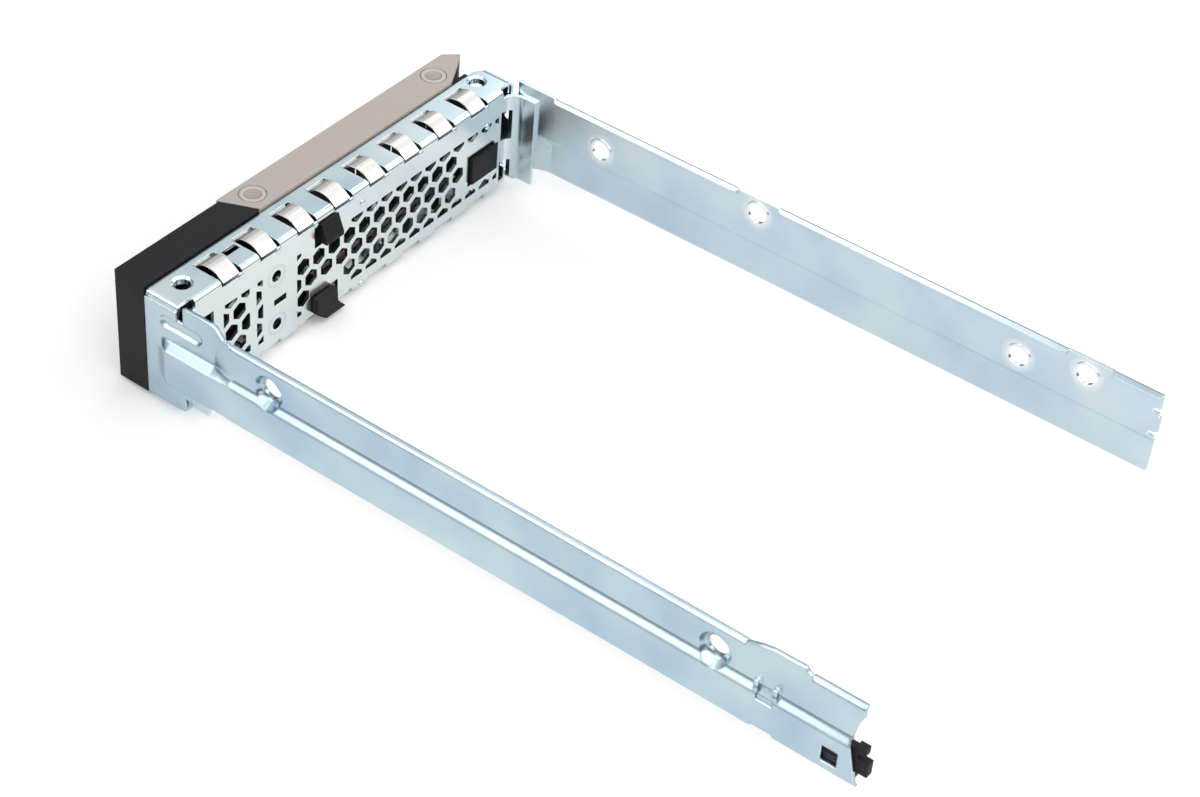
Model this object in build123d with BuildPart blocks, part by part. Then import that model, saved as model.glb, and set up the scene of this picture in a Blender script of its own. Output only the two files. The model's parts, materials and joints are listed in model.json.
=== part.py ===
from build123d import *
from math import atan2, cos, degrees, pi, sin, sqrt
import os

# A hot swap caddy for a 3.5-inch drive, lying upside down on its spring fingers.
# Sketch coordinates are drive coordinates: x from the middle of the drive, y rearwards from its
# front pair of side holes, z up from the axis of those holes. The model's own origin is under the
# middle of the caddy, on the surface that it lies on.

# Drive
drive_width = 101.6
drive_clearance = 0.1
hole_pitch = 101.6          # 3.5-inch side holes, front pair to rear pair
small_pitch = 76.6          # 2.5-inch holes of the adapter carrier
small_first = 39.5
small_rise = 3.35
screw_hole = 2.2            # radius of a hole in a rail

# Plated sheet
sheet = 0.8
boss_rise = 0.2             # a screw boss stands this far in from a rail's front panel
bend = 1.15                 # outer radius of a sharp fold
seat_x = drive_width / 2 + drive_clearance
panel_in = seat_x + boss_rise
panel_out = panel_in + sheet

# Front shell
wall_y = -23.34             # rear face of the wall
plate_front = -32.6
plate_top = 6.2
plate_bottom = -19.5
flange_drop = 3.6
flange_rear = -24.6
wall_flat = 47.3            # the wall turns rearwards beyond this
wall_turn = 3.8
tab_rear = -17.2
tab_low = -17.0
tab_high = 4.2
slot_width = 2.6            # relief slots in the wall's turned ends
slot_start = 46.9
slots = ((-6.8, 0.6), (-17.6, -12.2))
side_opening = (42.4, 47.5, -6.8, 0.6)
plate_corner = 2.5          # cut off the far front corner of each plate
plate_slot = (29.6, 33.3, -29.8, -28.1)
wall_slot = (21.6, 25.2, -8.7, -7.2)
wall_holes = ((24.4, -1.5), (24.4, -13.5))
wall_hole = 1.3

# Flared screw holes in the upper plate
flares = ((45.1, -28.8), (-46.2, -29.9))
flare_bore = 1.7
flare_mouth = 2.2
flare_depth = 0.45
collar_radius = 2.4
collar_drop = 0.9

# Spring fingers and their cut-outs
finger_count = 8
finger_pitch = 10.87
finger_first = 37.0
finger_width = 4.8
finger_crest = 1.0          # height above the plate
finger_sheet = 0.3
cut_width = 5.8
cut_front = -31.05
cut_depth = 1.6             # from the plate's face down the wall
band_margin = 0.4           # from the plate's front edge to the strip
finger_bend = 1.2
finger_tail = 0.45          # above the floor of the cut-out

# Vent lattice
hex_flats = 3.5
hex_pitch = 4.67
hex_x = 16.5                # centre of one hexagon
hex_z = -3.79
vent_low = -15.8
vent_high = 0.0
vent_fields = ((-46.2, 18.4), (32.2, 39.7), (28.4, 30.3))
hex_sliver = 1.3            # smallest cut hexagon that is punched, in square millimetres

# Windows for the bezel's hooks: left, right, low, high
hook_tops = (6.1, 13.1, -1.2, 3.7)
hook_feet = (6.05, 13.2, plate_bottom - 0.5, -12.9)
hook_far = (-44.5, -36.0, -12.8, -5.2)
windows = (hook_tops, hook_feet, hook_far)
hook_gap = 0.2              # between the wall and a hook's head
upper_head = (6.4, 11.6, -0.4, 4.4)
upper_reach = 1.9           # of the upper hook's ramp behind the wall
upper_nose = 0.5            # height of the ramp's rear end
foot_head = ((8.0, -13.2), (7.8, -16.6), (5.5, -19.2), (11.4, -19.2), (13.9, -17.1), (14.0, -13.2))
foot_reach = 1.7
far_head = ((-45.1, -12.2), (-36.6, -12.2), (-36.6, -5.8), (-45.1, -5.8))
far_reach = 0.8

# Rails
panel_front = -32.2
panel_step = -24.3
panel_back = -22.3
panel_low = -18.4
panel_high = 5.3
panel_notch = 3.0
rail_bottom = -12.5
rail_end = 132.0
joggle = 1.0                # the near rail steps out behind its panel
joggle_start = -14.3
joggle_end = -9.5
pad_rise = 0.8
pad_start = -29.4
pad_full = -25.7
crease = -2.4
pad_top = -3.75
near_top = 5.1
near_crest = 7.3            # where the web rises out of the panel
lip_end = 107.5
hump_top = 7.0
hump_start = 113.0
hump_end = 118.5
tail_top = 5.9
tail_start = 120.7
tail_lip_end = 131.4
foot_hole = ((-22.5, -15.1), (-20.4, -15.2), (-22.1, -17.15))
foot_step = (110.6, 115.3, 1.2)     # start, end and height of the notch in the lower edge
lance = (111.0, 114.6, -5.1, -2.0)  # window lanced in the slope
ear_width = 0.8
ear_low = -3.4
ear_high = -0.6
rear_window = (125.0, 128.3, -9.9, -7.2)
boss_floor = 2.7            # radius of a boss's floor
near_dimple = 3.5           # radius of the dimple round a boss, at the web's face
long_dimple = (-23.0, 1.7)
dimple_length = 11.0
dimple_height = 3.0
dimple_depth = 0.6
plain_top = 6.9
ledge_top = 7.2
ledge_in = 49.5
ledge_stretches = ((-12.5, 34.6), (44.6, 111.5), (121.2, 132.0))
ledge_corner = 1.2
plain_crease = -3.9
plain_step = 0.6
panel_holes = ((-24.2, -1.9), (-24.4, -15.3))
panel_hole = 1.8
end_tongue = (-2.0, 1.5)            # stands back of the rail's end by half a millimetre
end_notches = (2.8, -2.9)

# Bezel and lever
front_y = -41.08
bezel_back = -32.9
block_in = 22.6
block_foot = 18.85
block_out = 51.3
bezel_low = -19.4
bezel_high = 7.0
bezel_wall = 2.0
frame_front = -34.2
frame_far = -47.5
frame_slots = (-34.0, 16.5)         # the first slot's middle and the limit of the last one
frame_slot = 1.9
frame_pitch = 3.8
frame_rim = 2.5
frame_bar = 2.0                     # between the two rows of slots
lug_radius = 2.4
lug_height = 2.1
lever_wall = 1.2
lever_high = 7.05
lever_gap = 0.25
lever_far = -48.0
lever_tip = (-50.85, -38.2)
lever_heel = (-41.5, -33.0)
grille_flats = 6.0          # vents in the lever's front
grille_pitch = 7.2
pin_y = -37.3
pivot_x = -40.7
pivot_shank = 1.5
striker_x = 15.9
striker_shank = 1.0
pin_head = 2.9
head_thick = 0.4
running = 0.05

# Button and latch
button_x = 29.0
button_z = -6.0
button_width = 8.8
button_height = 12.0
button_shoulder = 0.6
button_gap = 0.2
button_rear = -38.1
latch_low = -9.0
latch_high = -3.0
latch_front = -36.4
latch_rear = -34.4
latch_tip = 17.15
latch_end = 40.0
ramp_gap = 0.2              # between the button's wedge and the latch's ramp, along x
wedge_drop = 3.0            # both reach this far below the latch
spring_seat = 45.0
spring_wire = 0.22
spring_radius = 1.4
spring_turns = 4
lever_wire = 0.22
lever_coil = 2.05
lever_turns = 3
lever_leg = 8.0
coil_height = 2.6
coil_runs = 10              # straight runs in a turn of a coil

# Light pipes
pipe_width = 1.2
pipe_levels = (-6.3, -9.6)
pipe_in = 47.5
carrier_in = 51.2
carrier_top = -4.2
carrier_low = -11.5
carrier_front = -20.0
carrier_end = 131.5
tail_y = 133.8

# Worked out from the sizes above
web_out = panel_out + joggle
pad_out = web_out + pad_rise
skirt_out = panel_out + plain_step
shell_mid = (plate_top + plate_bottom) / 2
crest_top = plate_top + finger_crest
crest_low = plate_bottom - finger_crest
mid_x = (skirt_out - pad_out) / 2
hole_y = -(tail_y + front_y) / 2
hole_z = -crest_low
carrier_out = web_out + pad_rise - sheet - drive_clearance
striker_reach = striker_x + striker_shank
wedge_x = button_x + button_width / 2 + button_shoulder


def level(z):
    return Plane(origin=(mid_x, hole_y, hole_z + z))


def across(y):
    return Plane(origin=(mid_x, hole_y + y, hole_z), x_dir=(1, 0, 0), z_dir=(0, -1, 0))


def side(x):
    return Plane(origin=(mid_x + x, hole_y, hole_z), x_dir=(0, 1, 0), z_dir=(1, 0, 0))


def finish(piece, name):
    piece.part.label = name
    export_step(piece.part, "parts/" + name + ".step")


# A bent strip of sheet: the path is its outer face and the strip lies to one side of it
def bent_strip(path, radius, thickness, inner):
    with BuildLine() as strip:
        FilletPolyline(*path, radius=radius)
        offset(amount=thickness, side=inner)
    make_face(strip.edges())


def window(left, right, low, high, radius=0):
    with Locations(((left + right) / 2, (low + high) / 2)):
        if radius:
            RectangleRounded(right - left, high - low, radius)
        else:
            Rectangle(right - left, high - low)


# Pointed-top hexagons in staggered rows, cut at the edges of the fields and kept off the blocked
# windows. One hexagon of the second row is centred on (x, z).
def vent_holes(fields, blocked, x, z, flats, pitch):
    row_step = pitch * sqrt(3) / 2
    rows = int((vent_high - vent_low) / row_step) + 3
    columns = int(2 * panel_out / pitch) + 2
    with BuildSketch() as area:
        for left, right in fields:
            window(left, right, vent_low, vent_high)
    with BuildSketch() as lattice:
        for row in range(rows):
            row_z = z + row_step * (1 - row)
            shift = pitch / 2 if row % 2 == 0 else 0
            for column in range(-columns, columns):
                row_x = x + shift + column * pitch
                clear = abs(row_x) < panel_in
                for left, right, low, high in blocked:
                    beside = left - flats / 2 < row_x < right + flats / 2
                    if beside and low - flats / 2 < row_z < high + flats / 2:
                        clear = False
                if clear:
                    with Locations((row_x, row_z)):
                        RegularPolygon(flats / sqrt(3), 6, rotation=30)
        add(area.sketch, mode=Mode.INTERSECT)
    return [face for face in lattice.sketch.faces() if face.area > hex_sliver]


os.makedirs("parts", exist_ok=True)

# Front shell: wall and plates folded from one sheet
with BuildPart() as front_shell:
    channel = (
        (plate_front, plate_top),
        (wall_y, plate_top),
        (wall_y, plate_bottom),
        (plate_front, plate_bottom),
    )
    with BuildSketch(side(-wall_flat)):
        bent_strip(channel, bend, sheet, Side.RIGHT)
    extrude(amount=2 * wall_flat)
    # side flanges of the plates
    with BuildSketch(across(flange_rear)):
        upper = (
            (wall_flat - 1, plate_top),
            (panel_in, plate_top),
            (panel_in, plate_top - flange_drop),
        )
        bent_strip(upper, bend, sheet, Side.RIGHT)
        lower = (
            (wall_flat - 1, plate_bottom),
            (panel_in, plate_bottom),
            (panel_in, plate_bottom + flange_drop),
        )
        bent_strip(lower, bend, sheet, Side.LEFT)
        mirror(about=Plane.YZ)
    extrude(amount=flange_rear - plate_front)
    # the wall's ends turn rearwards against the rails
    with BuildSketch(level(tab_low)):
        turned = (
            (wall_flat - 2, wall_y - sheet),
            (panel_in, wall_y - sheet),
            (panel_in, tab_rear),
        )
        bent_strip(turned, wall_turn, sheet, Side.LEFT)
        mirror(about=Plane.YZ)
    extrude(amount=tab_high - tab_low)
    with BuildSketch(across(tab_rear)):
        for slot_low, slot_high in slots:
            window(slot_start, slot_start + slot_width, slot_low, slot_high)
            window(-slot_start - slot_width, -slot_start, slot_low, slot_high)
        window(*side_opening)
    extrude(amount=tab_rear - flange_rear, mode=Mode.SUBTRACT)
    # clearance for the near rail's long dimple
    with BuildSketch(side(panel_in - sheet - 0.5)):
        with Locations(long_dimple):
            Rectangle(dimple_length + 1.4, dimple_height + 0.4)
    extrude(amount=sheet + 1, mode=Mode.SUBTRACT)
    # finger cut-outs run from each plate over the fold into the wall
    cut_spots = [(finger_first - k * finger_pitch, (cut_front + wall_y + 1) / 2) for k in range(finger_count)]
    for floor in (plate_top - cut_depth, plate_bottom - 1):
        with BuildSketch(level(floor)):
            with Locations(*cut_spots):
                Rectangle(cut_width, wall_y + 1 - cut_front)
            window(*plate_slot)
            with BuildLine():
                Polyline(
                    (-panel_out, plate_front + plate_corner), (-panel_out, plate_front - 1),
                    (-panel_in + plate_corner, plate_front - 1), (-panel_in + plate_corner, plate_front),
                    close=True,
                )
            make_face()
        extrude(amount=cut_depth + 1, mode=Mode.SUBTRACT)
    # vents, hook windows, slot and pair of holes in the wall
    with BuildSketch(across(wall_y + 1)):
        add(vent_holes(vent_fields, windows, hex_x, hex_z, hex_flats, hex_pitch))
        for edges in windows:
            window(*edges)
        window(*wall_slot)
        with Locations(*wall_holes):
            Circle(wall_hole)
    extrude(amount=sheet + 2, mode=Mode.SUBTRACT)
    # flared screw holes in the upper plate
    with BuildSketch(level(plate_top - sheet - collar_drop)):
        with Locations(*flares):
            Circle(collar_radius)
    extrude(amount=collar_drop)
    with BuildSketch(level(plate_top - sheet - collar_drop)):
        with Locations(*flares):
            Circle(flare_bore)
    extrude(amount=sheet + collar_drop, mode=Mode.SUBTRACT)
    with BuildSketch(level(plate_top)):
        with Locations(*flares):
            Circle(flare_mouth)
    extrude(amount=-flare_depth, taper=45, mode=Mode.SUBTRACT)
finish(front_shell, "front_shell")


# A pressed rail before trimming: the form between its outer face and the same face one sheet in
def pressed_rail(stations, crease_z, foot_z, bosses, dents):
    with BuildPart() as form:
        for y, web, pad, low in stations:
            with BuildSketch(across(y)):
                with BuildLine():
                    Polyline(
                        (seat_x - 5, 10), (web, 10), (web, crease_z), (pad, foot_z),
                        (pad, low + 1.2), (web, low), (web, -22), (seat_x - 5, -22), close=True,
                    )
                make_face()
        loft(ruled=True)
        with BuildSketch(side(seat_x + sheet)):
            with Locations(*bosses):
                Circle(boss_floor)
        slope = degrees(atan2(near_dimple - boss_floor, web_out - seat_x - sheet))
        extrude(amount=2, taper=-slope, mode=Mode.SUBTRACT)
        if dents:
            with BuildSketch(side(panel_out)):
                with Locations(*dents):
                    SlotOverall(dimple_length, dimple_height)
            extrude(amount=-dimple_depth, taper=40, mode=Mode.SUBTRACT)
    with BuildPart() as skin:
        add(form.part)
        add(form.part.moved(Location((-sheet, 0, 0))), mode=Mode.SUBTRACT)
    return skin.part


# The front panel and foot that both rails share, as outline points from the foot's heel round to
# the top of the panel
def panel_outline(top):
    return [
        (-16.8, rail_bottom - 0.4), (-18.0, rail_bottom - 1), (-22.5, panel_low),
        (panel_front, panel_low), (panel_front, panel_high), (panel_step, panel_high),
        (panel_step, panel_notch), (panel_back, panel_notch), (panel_back, top),
    ]


# Near rail, which carries the light pipes
near_stations = (
    (panel_front - 1, panel_out, panel_out, rail_bottom - 0.4),
    (pad_start, panel_out, panel_out, rail_bottom - 0.4),
    (pad_full, panel_out, pad_out, rail_bottom - 0.4),
    (joggle_start, panel_out, pad_out, rail_bottom - 0.4),
    (joggle_end, web_out, pad_out, rail_bottom - 0.4),
    (rail_end + 2, web_out, pad_out, rail_bottom - 0.4),
)
near_bosses = [(0, 0), (hole_pitch, 0)]
near_skin = pressed_rail(near_stations, crease, pad_top, near_bosses, [long_dimple])
near_lip = near_top - bend - 0.1
tail_lip = tail_top - bend - 0.1

with BuildPart() as light_pipe_rail:
    add(near_skin)
    with BuildSketch(side(seat_x - 4)):
        with BuildLine():
            Polyline(
                *panel_outline(near_crest),
                (joggle_start, near_crest), (joggle_end - 1.5, near_lip), (lip_end, near_lip),
                (hump_start, hump_top), (hump_end, hump_top), (tail_start, tail_lip),
                (tail_lip_end, tail_lip), (131.5, 3.6), (130.5, 1.2), (129.9, -2.3), (130.0, -3.0),
                (rail_end + 0.3, rail_bottom), (foot_step[1], rail_bottom),
                (foot_step[1], rail_bottom + foot_step[2]), (foot_step[0], rail_bottom + foot_step[2]),
                (foot_step[0], rail_bottom), (-14, rail_bottom),
                close=True,
            )
        make_face()
        with BuildLine():
            Polyline(*foot_hole, close=True)
        make_face(mode=Mode.SUBTRACT)
        with Locations(*near_bosses):
            Circle(screw_hole, mode=Mode.SUBTRACT)
    extrude(amount=8, mode=Mode.INTERSECT)
    # turned-in lips along the top edge
    for start, end, top in ((joggle_end, lip_end, near_top), (tail_start, tail_lip_end, tail_top)):
        with BuildSketch(across(start)):
            lip = (
                (web_out, top - bend - 0.1),
                (web_out, top),
                (panel_in, top),
            )
            bent_strip(lip, bend - 0.2, sheet, Side.LEFT)
        extrude(amount=start - end)
    # lanced window in the slope, with its two ears, and the rear window in the pad
    with BuildSketch(side(seat_x)):
        window(*lance)
        window(*rear_window)
    extrude(amount=pad_out - seat_x + 1, mode=Mode.SUBTRACT)
    with BuildSketch(side(web_out - sheet)):
        window(lance[0] - 0.5, lance[0] - 0.5 + ear_width, ear_low, ear_high)
        window(lance[1] - 0.2, lance[1] - 0.2 + ear_width, ear_low, ear_high)
    extrude(amount=sheet + 0.9)
finish(light_pipe_rail, "light_pipe_rail")

# Far rail, plain, with a ledge in three stretches
plain_stations = (
    (panel_front - 1, panel_out, panel_out, -20),
    (-17.0, panel_out, panel_out, -20),
    (-13.0, panel_out, skirt_out, -20),
    (rail_end + 2, panel_out, skirt_out, -20),
)
plain_bosses = [(0, 0), (small_first, small_rise), (hole_pitch, 0), (small_first + small_pitch, small_rise)]
plain_skin = pressed_rail(plain_stations, plain_crease, plain_crease - 1, plain_bosses, [])
plain_cut = ledge_top - bend - 0.05

with BuildPart() as plain_rail:
    add(plain_skin)
    with BuildSketch(side(seat_x - 4)):
        with BuildLine():
            Polyline(
                *panel_outline(ledge_top),
                (ledge_stretches[0][0] - 1, ledge_top), (ledge_stretches[0][0], plain_top),
                (rail_end, plain_top), (rail_end, rail_bottom), (-14, rail_bottom),
                close=True,
            )
        make_face()
        for stretch_start, stretch_end in ledge_stretches:
            window(stretch_start, stretch_end, plain_cut, 9)
        for stretch_start, stretch_end in ledge_stretches:
            with Locations(((stretch_start + stretch_end) / 2, (plain_cut + 9) / 2)):
                Rectangle(stretch_end - stretch_start, 9 - plain_cut, mode=Mode.SUBTRACT)
        window(rail_end - 1, rail_end + 0.5, *end_tongue)
        with Locations(*[(rail_end - 0.75, notch_z) for notch_z in end_notches]):
            Rectangle(1.5, 1.2, mode=Mode.SUBTRACT)
        with Locations(*plain_bosses):
            Circle(screw_hole, mode=Mode.SUBTRACT)
        with Locations(*panel_holes):
            Circle(panel_hole, mode=Mode.SUBTRACT)
    extrude(amount=8, mode=Mode.INTERSECT)
    for stretch_start, stretch_end in ledge_stretches:
        with BuildSketch(across(stretch_start)):
            ledge = (
                (panel_out, plain_cut),
                (panel_out, ledge_top),
                (ledge_in, ledge_top),
            )
            bent_strip(ledge, bend - 0.15, sheet, Side.LEFT)
        extrude(amount=stretch_start - stretch_end)
    ledge_corners = plain_rail.edges().filter_by(Axis.Z).group_by(Axis.X)[0]
    fillet(ledge_corners, radius=ledge_corner)
    mirror(about=side(0), mode=Mode.REPLACE)
finish(plain_rail, "plain_rail")

# Spring strips: a band under the plate and eight arched fingers
with BuildPart() as top_spring_strip:
    band_left = finger_first - (finger_count - 1) * finger_pitch - finger_width / 2 - 0.8
    band_right = finger_first + finger_width / 2 + 0.8
    under = plate_top - sheet
    with BuildSketch(level(under - finger_sheet)):
        window(band_left, band_right, plate_front + band_margin, cut_front + 0.3)
    extrude(amount=finger_sheet)
    for k in range(finger_count):
        finger_x = finger_first - k * finger_pitch
        arch = (
            (plate_front + band_margin, under),
            (cut_front + 0.6, under),
            (cut_front + 2.4, crest_top),
            (cut_front + 3.7, crest_top),
            (wall_y - 0.3, plate_top - cut_depth + finger_tail),
        )
        with BuildSketch(side(finger_x - finger_width / 2)):
            bent_strip(arch, finger_bend, finger_sheet, Side.RIGHT)
        extrude(amount=finger_width)
finish(top_spring_strip, "top_spring_strip")

with BuildPart() as bottom_spring_strip:
    add(mirror(top_spring_strip.part, about=level(shell_mid), mode=Mode.PRIVATE))
finish(bottom_spring_strip, "bottom_spring_strip")

# Bezel: hollow block, open frame behind the lever, pivot lugs and three hooks through the wall
slant_x = (block_in - block_foot) / (bezel_back - front_y)
frame_low = bezel_low + lever_wall + 0.3
frame_high = lever_high - lever_wall - 0.35


def slant(y, inset):
    return block_in - (y - front_y) * slant_x + inset * sqrt(1 + slant_x ** 2)


with BuildPart() as bezel:
    with BuildSketch(level(bezel_low)):
        with BuildLine():
            Polyline(
                (block_in, front_y), (block_out, front_y), (block_out, bezel_back), (block_foot, bezel_back),
                close=True,
            )
        make_face()
    extrude(amount=bezel_high - bezel_low)
    front_edges = bezel.edges().group_by(Axis.Y)[0]
    chamfer(front_edges, 0.6)
    with BuildSketch(level(bezel_low + bezel_wall)):
        with BuildLine():
            inner_y = front_y + bezel_wall
            Polyline(
                (slant(inner_y, bezel_wall), inner_y), (block_out - bezel_wall, inner_y),
                (block_out - bezel_wall, bezel_back), (slant(bezel_back, bezel_wall), bezel_back),
                close=True,
            )
        make_face()
    extrude(amount=bezel_high - bezel_low - 2 * bezel_wall, mode=Mode.SUBTRACT)
    # frame behind the lever, with two rows of air slots that leave out the hooks
    frame_mid = (frame_low + frame_high) / 2
    slot_height = (frame_high - frame_low - frame_bar) / 2 - frame_rim
    slot_shift = (slot_height + frame_bar) / 2
    with BuildSketch(across(bezel_back)):
        window(frame_far, block_foot + 2, frame_low, frame_high)
        for k in range(int((frame_slots[1] - frame_slots[0]) / frame_pitch) + 1):
            slot_x = frame_slots[0] + k * frame_pitch
            if not hook_tops[0] - 1 < slot_x < hook_tops[1] + 1:
                with Locations((slot_x, frame_mid - slot_shift), (slot_x, frame_mid + slot_shift)):
                    Rectangle(frame_slot, slot_height, mode=Mode.SUBTRACT)
    extrude(amount=bezel_back - frame_front)
    # pivot lugs
    for lug_low in (frame_low, frame_high - lug_height):
        with BuildSketch(level(lug_low)):
            with Locations((pivot_x, pin_y)):
                Circle(lug_radius)
            window(pivot_x - lug_radius, pivot_x + lug_radius, pin_y, frame_front + 0.1)
            with Locations((pivot_x, pin_y)):
                Circle(pivot_shank + running, mode=Mode.SUBTRACT)
        extrude(amount=lug_height)
    # hooks: arms through the windows, and heads behind the wall that are wider or higher
    arms = (
        (upper_head[0], upper_head[1], 0.2, hook_tops[3] - 0.4),
        (hook_feet[0] + 2.2, hook_feet[1] - 0.6, frame_low, foot_head[0][1]),
        (hook_far[0] + 0.6, hook_far[1] - 0.6, far_head[0][1], far_head[2][1]),
    )
    with BuildSketch(across(bezel_back - 0.5)):
        for arm in arms:
            window(*arm)
    extrude(amount=bezel_back - 0.5 - wall_y - hook_gap - 0.3)
    for outline, reach in ((foot_head, foot_reach), (far_head, far_reach)):
        with BuildSketch(across(wall_y + reach)):
            with BuildLine():
                Polyline(*outline, close=True)
            make_face()
        extrude(amount=reach - hook_gap)
    with BuildSketch(side(upper_head[0])):
        with BuildLine():
            Polyline(
                (wall_y + hook_gap, upper_head[2]), (wall_y + hook_gap, upper_head[3]),
                (wall_y + hook_gap + 0.2, upper_head[3]), (wall_y + upper_reach, upper_nose),
                (wall_y + upper_reach, upper_head[2]),
                close=True,
            )
        make_face()
    extrude(amount=upper_head[1] - upper_head[0])
    # openings for the button, the latch nose and the two light pipes
    with BuildSketch(across(front_y + bezel_wall + 0.1)):
        half_width = button_width / 2 + button_gap
        half_height = button_height / 2 + button_gap
        window(button_x - half_width, button_x + half_width, button_z - half_height, button_z + half_height)
        for pipe_z in pipe_levels:
            with Locations((pipe_in, pipe_z)):
                Rectangle(pipe_width + 0.2, pipe_width + 0.2)
    extrude(amount=bezel_wall + 0.2, mode=Mode.SUBTRACT)
    with BuildSketch(level(latch_low - button_gap)):
        window(striker_reach, block_in + 1.4, -39.2, -33.6)
    extrude(amount=latch_high - latch_low + 2 * button_gap, mode=Mode.SUBTRACT)
    # ribs that guide the latch and carry its spring
    with BuildSketch(level(latch_high + button_gap)):
        window(35.0, spring_seat + 0.5, inner_y - 0.1, latch_rear)
    extrude(amount=1.2)
    with BuildSketch(level(latch_low - button_gap - 1.2)):
        window(42.0, spring_seat + 0.5, inner_y - 0.1, latch_rear)
    extrude(amount=1.2)
    with BuildSketch(side(spring_seat)):
        window(inner_y - 0.1, latch_rear, latch_low - button_gap - 1.2, latch_high + button_gap + 1.2)
    extrude(amount=1.2)
finish(bezel, "bezel")

# Release lever: a painted channel, open to the rear and towards the latch
with BuildPart() as release_lever:
    with BuildSketch(level(bezel_low)):
        with BuildLine():
            Polyline(
                (block_in - lever_gap, front_y), (lever_far, front_y), lever_tip, lever_heel,
                (slant(lever_heel[1], 0) - lever_gap, lever_heel[1]),
                close=True,
            )
        make_face()
    extrude(amount=lever_high - bezel_low)
    with BuildSketch(level(bezel_low + lever_wall)):
        with BuildLine():
            inner_y = front_y + lever_wall
            Polyline(
                (block_in + 1, inner_y), (lever_far + 0.45, inner_y), (lever_tip[0] + 1.7, lever_tip[1]),
                (lever_tip[0] + 1.7, bezel_back + 0.5), (block_foot + 1, bezel_back + 0.5),
                close=True,
            )
        make_face()
    extrude(amount=lever_high - bezel_low - 2 * lever_wall, mode=Mode.SUBTRACT)
    with BuildSketch(across(inner_y + 0.5)):
        add(vent_holes(((-44.0, 14.5),), (), -14.75, -3.0, grille_flats, grille_pitch))
    extrude(amount=lever_wall + 1, mode=Mode.SUBTRACT)
    pins = ((pivot_x, pivot_shank), (striker_x, striker_shank))
    for pin_x, shank in pins:
        with BuildSketch(level(bezel_low - 0.1)):
            with Locations((pin_x, pin_y)):
                Circle(shank)
        extrude(amount=lever_high - bezel_low + 0.2, mode=Mode.SUBTRACT)
        with BuildSketch(level(lever_high - head_thick)):
            with Locations((pin_x, pin_y)):
                Circle(pin_head)
        extrude(amount=head_thick, mode=Mode.SUBTRACT)
finish(release_lever, "release_lever")


# A riveted pin: its upper head lies flush in the lever, its lower head stands proud
def riveted_pin(pin_x, shank):
    with BuildPart() as pin:
        with BuildSketch(level(bezel_low - head_thick)):
            with Locations((pin_x, pin_y)):
                Circle(shank)
        extrude(amount=lever_high - bezel_low + head_thick)
        for head_low, head_radius in ((bezel_low - head_thick, pin_head), (lever_high - head_thick, pin_head - 0.15)):
            with BuildSketch(level(head_low)):
                with Locations((pin_x, pin_y)):
                    Circle(head_radius)
            extrude(amount=head_thick)
    return pin


pivot_pin = riveted_pin(pivot_x, pivot_shank)
finish(pivot_pin, "pivot_pin")
striker_pin = riveted_pin(striker_x, striker_shank)
finish(striker_pin, "striker_pin")

# Release button: cap, shoulder behind the front wall and the wedge that drives the latch
with BuildPart() as release_button:
    with BuildSketch(across(button_rear)):
        with Locations((button_x, button_z)):
            Rectangle(button_width, button_height)
    extrude(amount=button_rear - front_y)
    face = release_button.faces().sort_by(Axis.Y)[0]
    chamfer(face.edges(), 0.3)
    with BuildSketch(across(button_rear)):
        with Locations((button_x, button_z)):
            Rectangle(button_width + 2 * button_shoulder, button_height + 2 * button_shoulder)
    extrude(amount=button_rear - front_y - bezel_wall - button_gap)
    with BuildSketch(level(latch_low - wedge_drop)):
        with BuildLine():
            Polyline(
                (wedge_x - 3.5, -38.5), (wedge_x + 2, -38.5), (wedge_x + 2, -37.4), (wedge_x, -35.4),
                (wedge_x - 3.5, -35.4),
                close=True,
            )
        make_face()
    extrude(amount=wedge_drop - button_gap)
finish(release_button, "release_button")

# Latch: a bar that slides along x, its nose beside the striker and its ramp on the button's wedge
with BuildPart() as latch:
    with BuildSketch(level(latch_low)):
        window(21.8, latch_end, latch_front, latch_rear)
        with BuildLine():
            Polyline(
                (latch_tip, -37.6), (latch_tip + 1.2, -38.6), (22.0, -38.6), (22.0, latch_rear),
                (latch_tip + 0.8, latch_rear), (latch_tip, latch_rear - 0.8),
                close=True,
            )
        make_face()
    extrude(amount=latch_high - latch_low)
    with BuildSketch(level(latch_low - wedge_drop)):
        with BuildLine():
            Polyline(
                (wedge_x - 1 + ramp_gap, latch_rear), (37.5, latch_rear), (37.5, -38.0),
                (wedge_x + 2.6 + ramp_gap, -38.0),
                close=True,
            )
        make_face()
    extrude(amount=wedge_drop)
    with BuildSketch(side(latch_end)):
        with Locations(((latch_front + latch_rear) / 2, button_z)):
            Circle(0.8)
    extrude(amount=1.2)
finish(latch, "latch")


# A coil of wire about a plane's normal, as short straight runs, with optional legs at its ends
def coil(plane, centre, radius, wire, height, turns, first_leg=(), last_leg=()):
    points = [*first_leg]
    for k in range(turns * coil_runs + 1):
        angle = 2 * pi * k / coil_runs
        rise = wire + (height - 2 * wire) * k / (turns * coil_runs)
        points.append((centre[0] + radius * cos(angle), centre[1] + radius * sin(angle), rise))
    points.extend(last_leg)
    with BuildPart() as spring:
        with BuildLine() as path:
            Polyline(*[plane.from_local_coords(point) for point in points])
        with BuildSketch(Plane(origin=path.line @ 0, z_dir=path.line % 0)):
            RegularPolygon(wire, 6)
        sweep(transition=Transition.RIGHT)
    return spring


# Latch spring between the latch and its rib
latch_spring = coil(
    side(latch_end), ((latch_front + latch_rear) / 2, button_z), spring_radius, spring_wire,
    spring_seat - latch_end, spring_turns,
)
finish(latch_spring, "latch_spring")

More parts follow.
